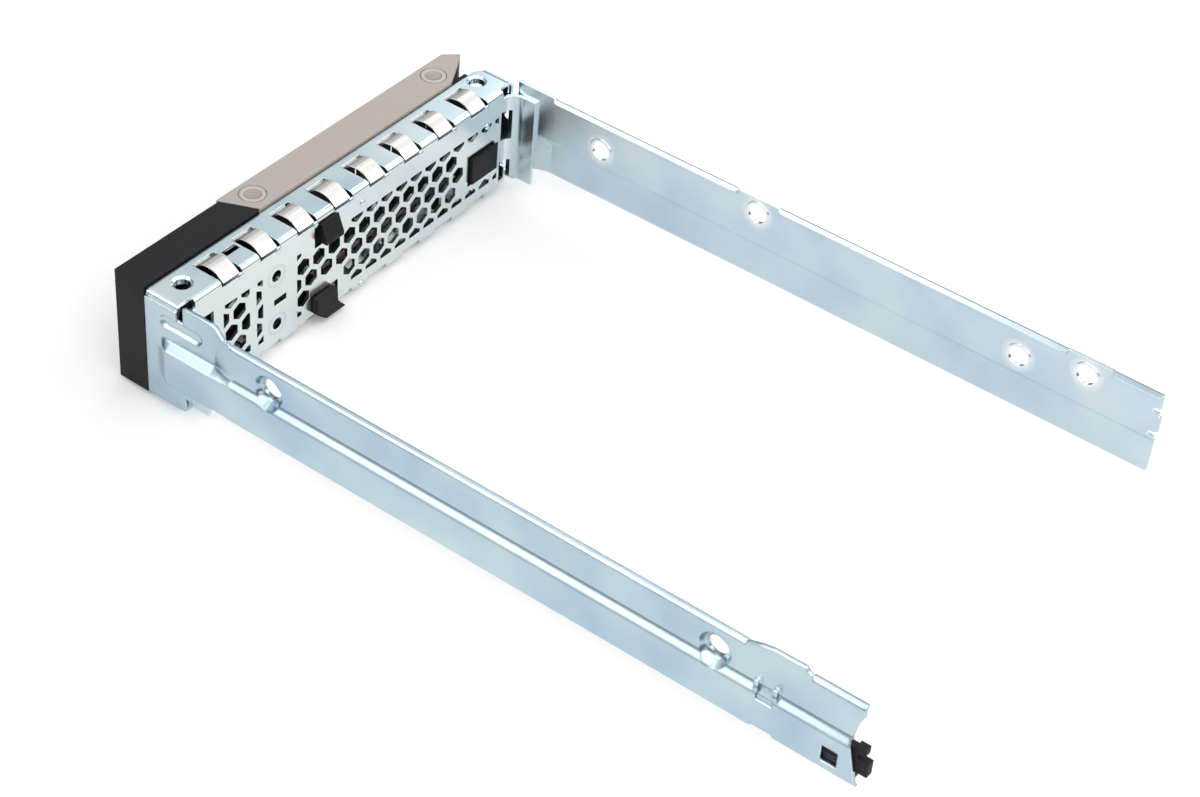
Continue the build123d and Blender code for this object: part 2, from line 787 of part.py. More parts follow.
# Lever spring round the pivot pin, one leg along the lever's front, the other on the frame
coil_x = pivot_x + lever_coil
leg_y = front_y + lever_wall + lever_wire + 0.2
lever_spring = coil(
    level(frame_high - lug_height - coil_height - 0.3), (pivot_x, pin_y),
    lever_coil, lever_wire, coil_height, lever_turns,
    first_leg=((coil_x + lever_leg, leg_y, lever_wire), (coil_x, leg_y, lever_wire)),
    last_leg=((coil_x, frame_front - 0.1, coil_height - lever_wire),),
)
finish(lever_spring, "lever_spring")

# Light pipe carrier: a moulded strip in the near rail's channel, grooved for both pipes
with BuildPart() as light_pipe_carrier:
    with BuildSketch(side(carrier_in)):
        window(carrier_front, carrier_end, carrier_low, carrier_top)
        window(carrier_end - 0.5, tail_y - 0.9, -5.0, -3.4)
        window(carrier_end - 0.5, tail_y, -9.5, -6.3)
    extrude(amount=carrier_out - carrier_in)
    for pipe_z in pipe_levels:
        with BuildSketch(side(carrier_out - pipe_width)):
            window(carrier_front - 1, carrier_end - 2, pipe_z - pipe_width / 2, pipe_z + pipe_width / 2)
        extrude(amount=pipe_width + 0.1, mode=Mode.SUBTRACT)
finish(light_pipe_carrier, "light_pipe_carrier")


# A light pipe: along the rail, inwards past the wall's end and out through the bezel
def light_pipe(pipe_z):
    outer = carrier_out
    bent = (
        (outer, carrier_end - 2),
        (outer, flange_rear + 0.4),
        (pipe_in + pipe_width / 2, plate_front + 1.0),
        (pipe_in + pipe_width / 2, front_y),
    )
    with BuildPart() as pipe:
        with BuildSketch(level(pipe_z - pipe_width / 2)):
            bent_strip(bent, 3.0, pipe_width, Side.RIGHT)
        extrude(amount=pipe_width)
    return pipe


status_light_pipe = light_pipe(pipe_levels[0])
finish(status_light_pipe, "status_light_pipe")
activity_light_pipe = light_pipe(pipe_levels[1])
finish(activity_light_pipe, "activity_light_pipe")
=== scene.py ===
import json
from math import pi, radians

import bmesh
import bpy
from mathutils import Matrix, Vector


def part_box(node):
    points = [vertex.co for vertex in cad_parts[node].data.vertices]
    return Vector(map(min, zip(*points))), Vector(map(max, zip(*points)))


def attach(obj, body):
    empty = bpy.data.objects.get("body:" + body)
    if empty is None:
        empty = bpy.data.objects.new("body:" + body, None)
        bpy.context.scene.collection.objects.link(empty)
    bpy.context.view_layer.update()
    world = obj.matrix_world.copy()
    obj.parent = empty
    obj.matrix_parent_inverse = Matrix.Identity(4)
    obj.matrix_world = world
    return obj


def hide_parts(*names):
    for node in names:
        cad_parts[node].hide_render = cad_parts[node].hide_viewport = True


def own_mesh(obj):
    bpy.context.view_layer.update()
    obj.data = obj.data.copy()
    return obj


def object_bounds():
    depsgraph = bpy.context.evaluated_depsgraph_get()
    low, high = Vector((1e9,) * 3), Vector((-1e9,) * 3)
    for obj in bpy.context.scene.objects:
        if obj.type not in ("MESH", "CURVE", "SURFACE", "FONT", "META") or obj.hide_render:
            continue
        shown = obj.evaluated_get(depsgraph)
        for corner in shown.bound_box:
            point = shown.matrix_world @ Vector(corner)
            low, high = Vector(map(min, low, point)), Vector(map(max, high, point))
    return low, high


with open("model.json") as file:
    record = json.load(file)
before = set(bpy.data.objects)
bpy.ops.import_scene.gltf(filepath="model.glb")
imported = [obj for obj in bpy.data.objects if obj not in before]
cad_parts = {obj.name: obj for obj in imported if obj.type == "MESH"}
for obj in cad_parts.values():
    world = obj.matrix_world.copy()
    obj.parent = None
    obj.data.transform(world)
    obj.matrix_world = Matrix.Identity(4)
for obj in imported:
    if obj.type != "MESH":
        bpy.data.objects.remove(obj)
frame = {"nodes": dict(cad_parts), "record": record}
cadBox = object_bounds()
mm = 0.001
weld = 0.001 * mm   # points closer than this are one point

# Places are given in the caddy's drive coordinates, in millimetres: x from the middle of the drive,
# y rearwards from its front pair of side holes and z up from those holes. The record's two patterns
# of drive holes say where that is.
mounts = {mount["name"]: mount for mount in frame["record"]["mounts"]}
nearHoles = mounts["near_drive_holes"]
farHoles = mounts["far_drive_holes"]
smallHoles = mounts["far_small_drive_holes"]
driveZero = Vector((
    (nearHoles["pos_m"][0] + farHoles["pos_m"][0]) / 2,
    nearHoles["pos_m"][1] - nearHoles["dims"]["spacing_x_mm"] / 2 * mm,
    nearHoles["pos_m"][2],
))


def at(x, y, z):
    return driveZero + Vector((x, y, z)) * mm


def holesOf(mount):  # the holes of one pattern, in drive coordinates
    middle = (Vector(mount["pos_m"]) - driveZero) / mm
    half = Vector((0, mount["dims"]["spacing_x_mm"] / 2, 0))
    return [tuple(middle - half), tuple(middle + half)]


print("frame loaded:", len(frame["nodes"]), "nodes")


# Small helpers for colours, shader nodes and objects
def linear(hexColour):
    parts = [int(hexColour[i:i + 2], 16) / 255 for i in (1, 3, 5)]
    return tuple(c / 12.92 if c <= 0.04045 else ((c + 0.055) / 1.055) ** 2.4 for c in parts) + (1,)


def perMm(size):  # texture scale for a pattern whose features are this many millimetres apart
    return 1 / (size * mm)


def addNode(tree, kind, settings=None, links=None):
    node = tree.nodes.new(kind)
    for name, value in (settings or {}).items():
        if isinstance(name, int) or name in node.inputs:
            node.inputs[name].default_value = value
        else:
            setattr(node, name, value)
    for name, source in (links or {}).items():
        tree.links.new(source, node.inputs[name])
    return node


def newMaterial(name):
    material = bpy.data.materials.new(name)
    material.use_nodes = True
    tree = material.node_tree
    return material, tree, tree.nodes["Principled BSDF"]


def ramp(tree, source, stops):  # a colour ramp from (place, hex colour) stops
    node = addNode(tree, "ShaderNodeValToRGB", links={0: source})
    while len(node.color_ramp.elements) < len(stops):
        node.color_ramp.elements.new(0.5)
    for element, (place, colour) in zip(node.color_ramp.elements, stops):
        element.position = place
        element.color = linear(colour)
    return node.outputs[0]


def mixColours(tree, amount, first, second):
    node = addNode(tree, "ShaderNodeMix", {"data_type": "RGBA"}, {0: amount})
    for socket, value in ((6, first), (7, second)):
        if isinstance(value, str):
            node.inputs[socket].default_value = linear(value)
        else:
            tree.links.new(value, node.inputs[socket])
    return node.outputs[2]


def spread(tree, source, low, high, fromLow=0.0, fromHigh=1.0):  # maps a value to another range
    settings = {"From Min": fromLow, "From Max": fromHigh, "To Min": low, "To Max": high}
    return addNode(tree, "ShaderNodeMapRange", settings, {0: source}).outputs[0]


def product(tree, first, second):
    return addNode(tree, "ShaderNodeMath", {"operation": "MULTIPLY"}, {0: first, 1: second}).outputs[0]


def largest(tree, values):
    top = values[0]
    for value in values[1:]:
        top = addNode(tree, "ShaderNodeMath", {"operation": "MAXIMUM"}, {0: top, 1: value}).outputs[0]
    return top


def awayFrom(tree, level, value):  # how far a value lies from a level, either way
    off = addNode(tree, "ShaderNodeMath", {"operation": "SUBTRACT", 1: level}, {0: value}).outputs[0]
    return addNode(tree, "ShaderNodeMath", {"operation": "ABSOLUTE"}, {0: off}).outputs[0]


def objectPlace(tree):
    return addNode(tree, "ShaderNodeTexCoord").outputs["Object"]


def objectAxes(tree):
    return addNode(tree, "ShaderNodeSeparateXYZ", links={0: objectPlace(tree)}).outputs


def radiusFrom(tree, centre, axes):  # distance from a centre, counting each axis by this much
    spot = objectPlace(tree)
    apart = addNode(tree, "ShaderNodeVectorMath", {"operation": "SUBTRACT", 1: centre}, {0: spot})
    flat = addNode(tree, "ShaderNodeVectorMath", {"operation": "MULTIPLY", 1: axes}, {0: apart.outputs[0]})
    length = addNode(tree, "ShaderNodeVectorMath", {"operation": "LENGTH"}, {0: flat.outputs[0]})
    return length.outputs["Value"]


def faceTurn(tree, direction):  # 1 where a face looks this way and -1 where it looks the other way
    flat = addNode(tree, "ShaderNodeNewGeometry").outputs["True Normal"]
    dot = addNode(tree, "ShaderNodeVectorMath", {"operation": "DOT_PRODUCT"}, {0: flat})
    if isinstance(direction, tuple):
        dot.inputs[1].default_value = direction
    else:
        tree.links.new(direction, dot.inputs[1])
    return dot.outputs["Value"]


def facing(tree, axis, low=0.6, high=0.9):  # 1 where a face looks along this axis
    return spread(tree, faceTurn(tree, axis), 0.0, 1.0, low, high)


def edgeMask(tree, rounded, low, high):  # 1 on an edge and 0 on a face
    return spread(tree, faceTurn(tree, rounded), 1.0, 0.0, low, high)


def grain(tree, size, detail=2.0, stretch=(1, 1, 1)):  # noise with features of this size, in mm
    settings = {"Scale": stretch}
    mapped = addNode(tree, "ShaderNodeMapping", settings, {0: objectPlace(tree)}).outputs[0]
    settings = {"Scale": perMm(size), "Detail": detail}
    return addNode(tree, "ShaderNodeTexNoise", settings, {0: mapped}).outputs[0]


def roundedNormal(tree, radius, samples=6):  # the small radius that stamping or moulding leaves
    settings = {"Radius": radius * mm, "samples": samples}
    return addNode(tree, "ShaderNodeBevel", settings).outputs[0]


def bumped(tree, height, strength, depth, rounded=None):
    settings = {"Strength": strength, "Distance": depth * mm}
    node = addNode(tree, "ShaderNodeBump", settings, {"Height": height})
    if rounded is not None:
        tree.links.new(rounded, node.inputs["Normal"])
    return node.outputs[0]


def setShader(tree, shader, settings, links=None):
    for name, value in settings.items():
        shader.inputs[name].default_value = value
    for name, source in (links or {}).items():
        tree.links.new(source, shader.inputs[name])


def inScene(name, data):  # an object that shows this data
    item = bpy.data.objects.new(name, data)
    bpy.context.scene.collection.objects.link(item)
    return item


def looking(place, aim, roll=0.0):  # the matrix of a lamp or camera that looks at a point
    turned = (Vector(aim) - Vector(place)).to_track_quat("-Z", "Y").to_matrix().to_4x4()
    return Matrix.Translation(place) @ (turned @ Matrix.Rotation(radians(roll), 4, "Z"))


# Zinc-plated steel: cold-rolled sheet, stamped and folded, then barrel plated and passivated pale
# blue. The eye sees a soft mirror with cloudy blue and green-white patches, a faint rolling grain
# along the sheet and brighter edges, which are a painted highlight.
zinc = {
    "shell": ("#c3d7e4", "#d6e4ea", "#e2ebea"),     # blue, middle and pale patches
    "near": ("#b6cbde", "#c6d9e4", "#d4e4e6"),
    "far": ("#c2d4e3", "#d0dfe9", "#dce8ea"),
    "stops": (0.3, 0.5, 0.7),
    "wall": "#f1f3f2",      # painted light: faces that look rearwards, the wall's above all, are made paler than the plates
    "rearLightShare": 0.8,
    # the colour of the painted highlight on the edges
    "edge": "#f6fafb",
    "edgeTurn": (0.6, 0.9),
    "speck": "#a9bac4",
    "speckShare": 0.3,
    "speckFrom": (0.76, 0.82),
    "speckSize": 1.6,
    "cloud": 17.0,          # mm between patches
    "grain": 0.45,          # mm across the rolling grain, coarser than real so that it shows
    "grainStretch": (1, 0.05, 1),
    "bump": (0.12, 0.02),   # strength, and depth in mm
    "roughness": (0.17, 0.27),
    "foldRadius": 0.16,     # mm, on the folded and punched sheets
    "pressRadius": 0.75,    # mm, on the light pipe rail, which is pressed more softly
}

# Rings round holes: centres, which axes count, and the middle and half width of each ring. On the
# shell a darker ring round two holes in the wall; on the far rail a white painted highlight round each hole.
holeRings = {
    "shell": {
        "centres": ((24.4, 0, -1.5), (24.4, 0, -13.5)), "axes": (1, 0, 1),
        "radius": 2.4, "width": 0.4, "colour": "#b7c0c4", "amount": 0.4,
    },
    # painted highlight round the far rail's holes
    "far": {
        "centres": (*holesOf(farHoles), *holesOf(smallHoles)), "axes": (0, 1, 1),
        "radius": 2.2, "width": 1.9, "colour": "#ffffff", "amount": 0.9,
    },
}

# Painted shade along the bends and under the far rail's ledge: level, half width and amount of each line, and
# its first and last y
farStretches = ((-12.5, 34.6), (44.6, 111.5), (121.2, 131.5))
bendShade = {
    "near": ((-2.1, 0.45, 0.8, -9.0, 131.0), (-3.95, 0.28, 0.45, -9.0, 131.0)),
    "far": tuple((6.0, 0.4, 0.6, *stretch) for stretch in farStretches),
    # the colour of the painted shade lines
    "colour": "#4d5c68",
    "fade": 0.5,    # mm over which a line starts and stops
}


# where the painted shade lines lie, each at its own amount
def bendShadeMask(tree, lines):
    spot = objectAxes(tree)
    masks = []
    for level, width, amount, first, last in lines:
        off = awayFrom(tree, at(0, 0, level).z, spot["Z"])
        mask = spread(tree, off, amount, 0.0, 0.0, width * mm)
        for low, high, start in ((0.0, 1.0, first), (1.0, 0.0, last - bendShade["fade"])):
            reach = at(0, start, 0).y, at(0, start + bendShade["fade"], 0).y
            mask = product(tree, mask, spread(tree, spot["Y"], low, high, *reach))
        masks.append(mask)
    return largest(tree, masks)


def ringMask(tree, ring):
    masks = []
    for centre in ring["centres"]:
        off = awayFrom(tree, ring["radius"] * mm, radiusFrom(tree, at(*centre), ring["axes"]))
        masks.append(spread(tree, off, ring["amount"], 0.0, 0.0, ring["width"] * mm))
    return largest(tree, masks)


def zincPlate(name, shades, edgeRadius, ring=None, bend=None, paintedRearLight=False):
    material, tree, shader = newMaterial(name)
    clouds = grain(tree, zinc["cloud"], 3.0)
    tint = ramp(tree, clouds, tuple(zip(zinc["stops"], shades)))
    if paintedRearLight:
        # painted light: faces that look rearwards are made paler
        amount = spread(tree, facing(tree, (0, 1, 0)), 0.0, zinc["rearLightShare"])
        tint = mixColours(tree, amount, tint, zinc["wall"])
    # rings round holes: a darker tint on the shell, a painted highlight on the far rail
    if ring:
        tint = mixColours(tree, ringMask(tree, ring), tint, ring["colour"])
    specks = spread(tree, grain(tree, zinc["speckSize"], 1.0), 0.0, zinc["speckShare"], *zinc["speckFrom"])
    tint = mixColours(tree, specks, tint, zinc["speck"])
    rounded = roundedNormal(tree, edgeRadius)
    # painted highlight on the edges
    tint = mixColours(tree, edgeMask(tree, rounded, *zinc["edgeTurn"]), tint, zinc["edge"])
    # painted shade along the bends and under the far ledge
    if bend:
        tint = mixColours(tree, bendShadeMask(tree, bend), tint, bendShade["colour"])
    rolled = grain(tree, zinc["grain"], 2.0, zinc["grainStretch"])
    setShader(tree, shader, {"Metallic": 1.0}, {
        "Base Color": tint,
        "Roughness": spread(tree, clouds, *zinc["roughness"], zinc["stops"][0], zinc["stops"][-1]),
        "Normal": bumped(tree, rolled, *zinc["bump"], rounded),
    })
    return material


# Stainless spring strip: hard cold-rolled 301, blanked and formed in one tool, left bare. The eye
# sees a bright warm grey with fine lines along the fingers.
stainless = {
    "body": "#ebe7e1",
    "shade": "#dad5cf",
    "lines": 0.25,
    "lineStretch": (1, 0.06, 0.06),
    "bump": (0.1, 0.01),
    "roughness": (0.3, 0.42),
}


def springStainless():
    material, tree, shader = newMaterial("springStainless")
    lines = grain(tree, stainless["lines"], 2.0, stainless["lineStretch"])
    tint = mixColours(tree, lines, stainless["shade"], stainless["body"])
    setShader(tree, shader, {"Metallic": 1.0}, {
        "Base Color": tint,
        "Roughness": spread(tree, lines, *stainless["roughness"]),
        "Normal": bumped(tree, lines, *stainless["bump"]),
    })
    return material


# Black ABS: injection moulded in a spark-eroded mould. The eye sees a dense, slightly warm black
# with a fine even grain, a broad dull sheen and small soft edges that catch the light.
mould = {
    "body": "#141115",
    # the colour of the painted highlight on the edges
    "edgeSheen": "#221e22",
    "edgeSheenTurn": (0.7, 0.98),
    "erosion": 0.35,    # mm between pits, about twice the real texture
    "pitRange": (0.3, 0.7),
    "bump": (0.18, 0.03),
    "roughness": (0.5, 0.66),
    "edgeRadius": 0.35,
}


def blackAbs():
    material, tree, shader = newMaterial("blackAbs")
    pits = grain(tree, mould["erosion"], 3.0)
    rounded = roundedNormal(tree, mould["edgeRadius"])
    # painted highlight: edges made lighter than the body
    tint = mixColours(tree, edgeMask(tree, rounded, *mould["edgeSheenTurn"]), mould["body"], mould["edgeSheen"])
    setShader(tree, shader, {"IOR": 1.53, "Specular IOR Level": 0.3}, {
        "Base Color": tint,
        "Roughness": spread(tree, pits, *mould["roughness"], *mould["pitRange"]),
        "Normal": bumped(tree, pits, *mould["bump"], rounded),
    })
    return material


# Champagne paint: satin metallic enamel sprayed over the steel lever, pins and all. The eye sees an
# even warm grey with a very fine flake and no clear reflections.
champagne = {
    "body": "#c3b8b0",
    "flakeDark": "#bbb0a9",
    # the colour of the painted highlight on the edges
    "edge": "#d6cdc6",
    "edgeTurn": (0.75, 0.98),
    "inside": "#262324",    # painted shade on the channel's inner face, which light hardly reaches
    "sheet": 1.1,
    "channelShadeFade": 0.1,      # mm over which the painted shade gives way to the paint
    "flake": 0.3,
    "bump": (0.1, 0.01),
    "roughness": (0.42, 0.54),
    "edgeRadius": 0.25,
}


def channelShadeMask(tree):  # 1 on the inner face of the lever's channel
    low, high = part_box("release_lever")
    off = awayFrom(tree, (low.z + high.z) / 2, objectAxes(tree)["Z"])
    reach = (high.z - low.z) / 2 - champagne["sheet"] * mm
    within = spread(tree, off, 1.0, 0.0, reach - champagne["channelShadeFade"] * mm, reach)
    return product(tree, facing(tree, (0, 1, 0)), within)


def champagnePaint():
    material, tree, shader = newMaterial("champagnePaint")
    flakes = grain(tree, champagne["flake"], 2.0)
    tint = mixColours(tree, flakes, champagne["flakeDark"], champagne["body"])
    rounded = roundedNormal(tree, champagne["edgeRadius"])
    # painted highlight: edges made lighter than the body
    tint = mixColours(tree, edgeMask(tree, rounded, *champagne["edgeTurn"]), tint, champagne["edge"])
    # painted shade: the channel's inner face is made dark
    tint = mixColours(tree, channelShadeMask(tree), tint, champagne["inside"])
    setShader(tree, shader, {"Metallic": 0.25, "IOR": 1.5, "Specular IOR Level": 0.4}, {
        "Base Color": tint,
        "Roughness": spread(tree, flakes, *champagne["roughness"]),
        "Normal": bumped(tree, flakes, *champagne["bump"], rounded),
    })
    return material


# Pin heads: spun over and painted with the lever, then rubbed. The eye sees a light rim, a fine
# groove and a greyer middle where the paint is thin.
pinHead = {
    "middle": "#a39f9f",
    "rim": "#cbc2bb",
    "groove": 1.75,     # mm from the axis
    "width": 0.16,
    "edge": 2.55,       # where the rim rolls down
    "roll": 0.3,        # mm over which it does
    "bump": (0.9, 0.25),
    "roughness": (0.36, 0.5),
}


def paintedPin(name, nodeName):
    material, tree, shader = newMaterial(name)
    low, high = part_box(nodeName)
    away = radiusFrom(tree, (low + high) / 2, (1, 1, 0))
    inner = (pinHead["groove"] - pinHead["width"]) * mm
    outer = (pinHead["groove"] + pinHead["width"]) * mm
    rim = spread(tree, away, 0.0, 1.0, inner, outer)
    flakes = grain(tree, champagne["flake"], 2.0)
    middle = mixColours(tree, flakes, pinHead["middle"], champagne["flakeDark"])
    fall = spread(tree, away, 1.0, 0.0, pinHead["edge"] * mm, (pinHead["edge"] + pinHead["roll"]) * mm)
    setShader(tree, shader, {"Metallic": 0.3, "IOR": 1.5, "Specular IOR Level": 0.4}, {
        "Base Color": mixColours(tree, rim, middle, pinHead["rim"]),
        "Roughness": spread(tree, flakes, *pinHead["roughness"]),
        "Normal": bumped(tree, product(tree, rim, fall), *pinHead["bump"]),
    })
    return material


# Music wire: drawn, bare and lightly oiled. The eye sees a dark bright grey with drawing lines.
wire = {"body": "#a4a6a8", "drawn": "#84878b", "lines": 0.15, "roughness": (0.22, 0.36)}


def musicWire():
    material, tree, shader = newMaterial("musicWire")
    lines = grain(tree, wire["lines"], 2.0)
    tint = mixColours(tree, lines, wire["drawn"], wire["body"])
    setShader(tree, shader, {"Metallic": 1.0}, {
        "Base Color": tint,
        "Roughness": spread(tree, lines, *wire["roughness"]),
    })
    return material


# Clear acrylic: moulded light guide with polished ends. The eye sees water-clear plastic with a
# slightly wavy skin.
acrylic = {
    "body": "#f4f8fa",
    "shade": "#e9f1f4",
    "waves": 4.0,
    "bump": (0.1, 0.05),
    "roughness": (0.04, 0.12),
}


def clearAcrylic():
    material, tree, shader = newMaterial("clearAcrylic")
    waves = grain(tree, acrylic["waves"], 1.0)
    setShader(tree, shader, {"IOR": 1.49, "Transmission Weight": 1.0}, {
        "Base Color": mixColours(tree, waves, acrylic["body"], acrylic["shade"]),
        "Roughness": spread(tree, waves, *acrylic["roughness"]),
        "Normal": bumped(tree, waves, *acrylic["bump"]),
    })
    return material


zincFinish = zincPlate("zincShell", zinc["shell"], zinc["foldRadius"], holeRings["shell"], paintedRearLight=True)
nearFinish = zincPlate("zincPressed", zinc["near"], zinc["pressRadius"], bend=bendShade["near"])
farFinish = zincPlate("zincPlain", zinc["far"], zinc["foldRadius"], holeRings["far"], bendShade["far"])
stainlessFinish = springStainless()
absFinish = blackAbs()
leverFinish = champagnePaint()
wireFinish = musicWire()
guideFinish = clearAcrylic()

finishes = {
    "front_shell": zincFinish,
    "light_pipe_rail": nearFinish,
    "plain_rail": farFinish,
    "bezel": absFinish,
    "release_button": absFinish,
    "latch": absFinish,
    "light_pipe_carrier": absFinish,
    "release_lever": leverFinish,
    "pivot_pin": paintedPin("paintedPivot", "pivot_pin"),
    "striker_pin": paintedPin("paintedStriker", "striker_pin"),
    "status_light_pipe": guideFinish,
    "activity_light_pipe": guideFinish,
}
for nodeName, finish in finishes.items():
    node = frame["nodes"][nodeName]
    if not node.material_slots:
        node.data.materials.append(finish)
    for slot in node.material_slots:
        slot.material = finish
print("materials on", len(finishes), "frame nodes")


# Light pipe rail: the solid's rim steps in straight lines, and the pressed one runs in soft curves
# from its front panel down to the lip and over the hump near its end. The lips that turn in along
# the rim are narrower than the solid's, and the window near its tail is taller. Levels are in mm.
softRail = {
    "base": 3.2,    # the rim is reshaped above this level
    "stretches": (
        {   # beside the front panel: (y, level) of the solid's rim and of the curved one
            "old": ((-22.3, 7.3), (-14.3, 7.3), (-11.0, 3.85), (-9.52, 3.85)),
            "new": (
                (-22.3, 7.3), (-18.0, 7.4), (-15.2, 7.4), (-14.0, 7.1), (-12.8, 6.4), (-11.6, 5.8),
                (-9.52, 5.5),
            ),
        },
        {   # the hump
            "old": ((107.52, 3.85), (113.0, 7.0), (118.5, 7.0), (120.68, 4.65)),
            "new": ((107.52, 5.7), (110.2, 6.7), (113.0, 7.3), (119.3, 7.4), (119.9, 6.7), (120.68, 6.1)),
        },
    ),
    "lips": (
        # first and last y, the level that a lip starts above, and how far it rises
        (-9.51, 107.51, 4.0, 0.5),
        (120.69, 131.41, 4.8, 0.1),
    ),
    "web": 52.1,            # x of the sheet that the lips turn in from
    "lipShare": 0.45,       # of the solid's lip width
    "windowY": (124.9, 128.4),
    "windowMiddle": -8.55,
    "windowReach": 1.4,     # the window's edges lie within this of its middle
    "windowGrow": 0.45,     # how far each of them moves out
}


def levelAt(points, y):
    y = round(y, 2)
    for (y0, z0), (y1, z1) in zip(points, points[1:]):
        if y0 <= y <= y1:
            return z0 + (z1 - z0) * (y - y0) / (y1 - y0)
    return None


def curveStretch(shape, stretch):
    base = softRail["base"]
    for y in sorted({y for points in stretch.values() for y, level in points}):
        cut = {"plane_co": at(0, y, 0), "plane_no": (0, 1, 0), "dist": weld}
        bmesh.ops.bisect_plane(shape, geom=shape.verts[:] + shape.edges[:] + shape.faces[:], **cut)
    for vertex in shape.verts:
        place = (vertex.co - driveZero) / mm
        old = levelAt(stretch["old"], place.y)
        if old and place.z > base:
            grown = (levelAt(stretch["new"], place.y) - base) / (old - base)
            vertex.co.z = driveZero.z + (base + (place.z - base) * grown) * mm


def trimLips(place):
    for first, last, base, rise in softRail["lips"]:
        if first < place.y < last and place.z > base:
            place.z += rise
            place.x = max(place.x, softRail["web"] - (softRail["web"] - place.x) * softRail["lipShare"])


def growWindow(place):
    first, last = softRail["windowY"]
    middle = softRail["windowMiddle"]
    if first < place.y < last and abs(place.z - middle) < softRail["windowReach"]:
        place.z += softRail["windowGrow"] * (1 if place.z > middle else -1)


def curvedRim(solid):
    shape = bmesh.new()
    shape.from_mesh(solid.data)
    bmesh.ops.remove_doubles(shape, verts=shape.verts, dist=weld)
    for stretch in softRail["stretches"]:
        curveStretch(shape, stretch)
    for vertex in shape.verts:
        place = (vertex.co - driveZero) / mm
        trimLips(place)
        growWindow(place)
        vertex.co = driveZero + place * mm
    mesh = bpy.data.meshes.new("softRail")
    shape.to_mesh(mesh)
    shape.free()
    piece = inScene("softRail", mesh)
    mesh.materials.append(nearFinish)
    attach(piece, "carrier")
    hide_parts(solid.name)


curvedRim(frame["nodes"]["light_pipe_rail"])


# The lanced window in the rail's slope is closed by a strip that stays just inside it
lance = {
    "ends": (111.15, 114.45),
    "profile": ((52.5, -2.05), (52.5, -2.5), (53.2, -3.8), (53.2, -5.05)),     # x and z
    "thickness": 0.3,
}


def lancedStrip():
    corners = [tuple(at(x, y, z)) for y in lance["ends"] for x, z in lance["profile"]]
    count = len(lance["profile"])
    faces = [(i, i + 1, count + i + 1, count + i) for i in range(count - 1)]
    mesh = bpy.data.meshes.new("lancedStrip")
    mesh.from_pydata(corners, [], faces)
    piece = inScene("lancedStrip", mesh)
    mesh.materials.append(nearFinish)
    modifier = piece.modifiers.new("sheet", "SOLIDIFY")
    modifier.thickness = lance["thickness"] * mm
    modifier.offset = 0
    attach(piece, "carrier")


lancedStrip()
print("rail's rim and lance made")


# Geometry Nodes: a tree with named inputs, run on a mesh of points or edges and made a plain mesh
def newTree(name, inputs):
    tree = bpy.data.node_groups.new(name, "GeometryNodeTree")
    tree.interface.new_socket(name="Geometry", in_out="INPUT", socket_type="NodeSocketGeometry")
    for label, kind in inputs.items():
        tree.interface.new_socket(name=label, in_out="INPUT", socket_type="NodeSocket" + kind)
    tree.interface.new_socket(name="Geometry", in_out="OUTPUT", socket_type="NodeSocketGeometry")
    return tree, addNode(tree, "NodeGroupInput").outputs


def endTree(tree, geometry, finish):  # every tree ends in real geometry with its own finish
    realised = addNode(tree, "GeometryNodeRealizeInstances", links={0: geometry}).outputs[0]
    painted = addNode(tree, "GeometryNodeSetMaterial", links={0: realised, 2: finish}).outputs[0]
    addNode(tree, "NodeGroupOutput", links={0: painted})


def skeleton(name, points, joined=True):  # the points, or the line through them, that a tree works on
    mesh = bpy.data.meshes.new(name)
    edges = [(i, i + 1) for i in range(len(points) - 1)] if joined else []
    mesh.from_pydata([tuple(point) for point in points], edges, [])
    return inScene(name, mesh)


def runTree(piece, tree, values):
    modifier = piece.modifiers.new(tree.name, "NODES")
    modifier.node_group = tree
    for item in tree.interface.items_tree:
        if item.item_type == "SOCKET" and item.in_out == "INPUT" and item.name in values:
            modifier[item.identifier] = values[item.name]
    bpy.context.view_layer.update()
    evaluated = piece.evaluated_get(bpy.context.evaluated_depsgraph_get())
    mesh = bpy.data.meshes.new_from_object(evaluated)
    piece.modifiers.remove(modifier)
    piece.data = mesh
    print(piece.name, "has", len(mesh.polygons), "faces")
    return piece


def smoothFaces(piece, sharp=35):
    piece.data.shade_smooth()
    piece.data.set_sharp_from_angle(angle=radians(sharp))


def softenEdges(piece, width, segments=2, sharp=40):
    modifier = piece.modifiers.new("softEdges", "BEVEL")
    modifier.width = width * mm
    modifier.segments = segments
    modifier.limit_method = "ANGLE"
    modifier.angle_limit = radians(sharp)
    modifier.harden_normals = True


# Spring strips: eight fingers stand in the cut-outs of each plate. Their front ends run under the
# plate, their crests stand 1 mm proud and their tails reach down past the fold of the wall.
fingers = {
    "count": 8,
    "pitch": -10.87,
    "first": 36.9,
    "width": 4.5,
    "thickness": 0.3,
    "bend": 1.2,
    "bendSteps": 6,
    "proud": 1.0,
    "band": (-32.2, -31.7),     # y of each finger's flat front end, under the plate
    "arch": (                   # y, and depth below the plate's face, from the foot to the tail
        (-31.05, 1.3), (-30.1, 0.0), (-29.1, -0.68), (-27.9, -0.84), (-26.8, -0.78), (-25.5, -0.2),
        (-23.75, 1.1),
    ),
    "sheet": 0.8,
    "round": 0.07,
}


